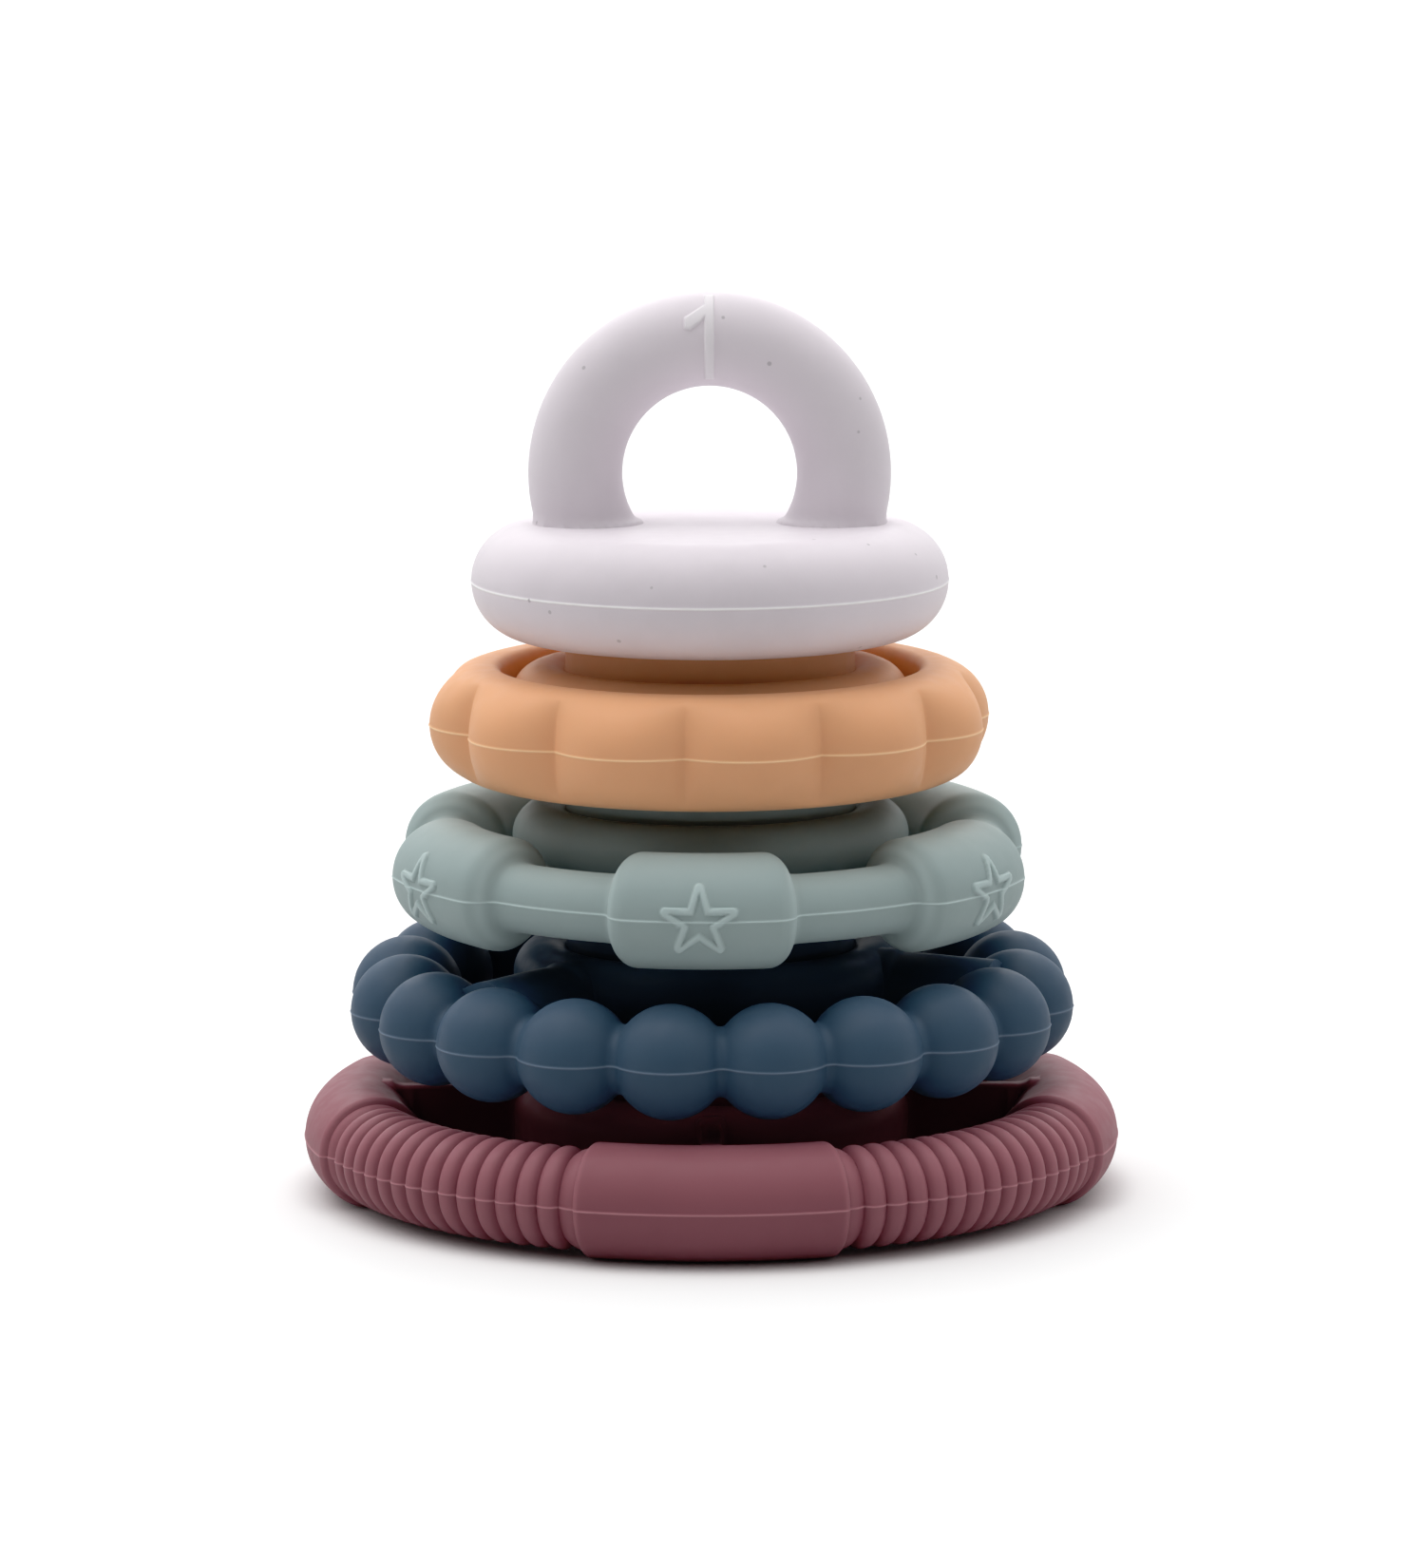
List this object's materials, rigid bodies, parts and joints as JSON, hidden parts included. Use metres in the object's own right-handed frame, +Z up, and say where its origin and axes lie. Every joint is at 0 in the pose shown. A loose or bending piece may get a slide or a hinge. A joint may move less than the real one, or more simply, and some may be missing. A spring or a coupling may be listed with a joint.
{
  "type": "stacking ring toy",
  "caption": "Stacking tower of soft silicone rings that plug together by a round boss and socket, smooth, beaded, starred and scalloped, with a loop handle on top.",
  "frame": {"origin": "middle of the underside, on the plane the toy stands on", "axes": "+Z up through the stack, front faces -Y, loop handle spans X"},
  "size_m": [0.1202, 0.1202, 0.1323],
  "materials": {
    "rose_silicone": "matte, soft sheen",
    "slate_silicone": "matte, soft sheen",
    "sage_silicone": "matte, soft sheen",
    "tan_silicone": "matte, soft sheen",
    "lilac_silicone": "matte, soft sheen"
  },
  "bodies": {
    "base": {"base_ring": "rose_silicone"},
    "bead": {"bead_ring": "slate_silicone"},
    "star": {"star_ring": "sage_silicone"},
    "scallop": {"scallop_ring": "tan_silicone"},
    "top": {"top_handle": "lilac_silicone"}
  },
  "joints": [
    {"name": "bead_lift", "type": "slide", "parent": "base", "child": "bead", "axis": [0, 0, 1], "range_m": [0, 0.03]},
    {"name": "star_lift", "type": "slide", "parent": "bead", "child": "star", "axis": [0, 0, 1], "range_m": [0, 0.03]},
    {"name": "scallop_lift", "type": "slide", "parent": "star", "child": "scallop", "axis": [0, 0, 1], "range_m": [0, 0.03]},
    {"name": "top_lift", "type": "slide", "parent": "scallop", "child": "top", "axis": [0, 0, 1], "range_m": [0, 0.03]}
  ]
}
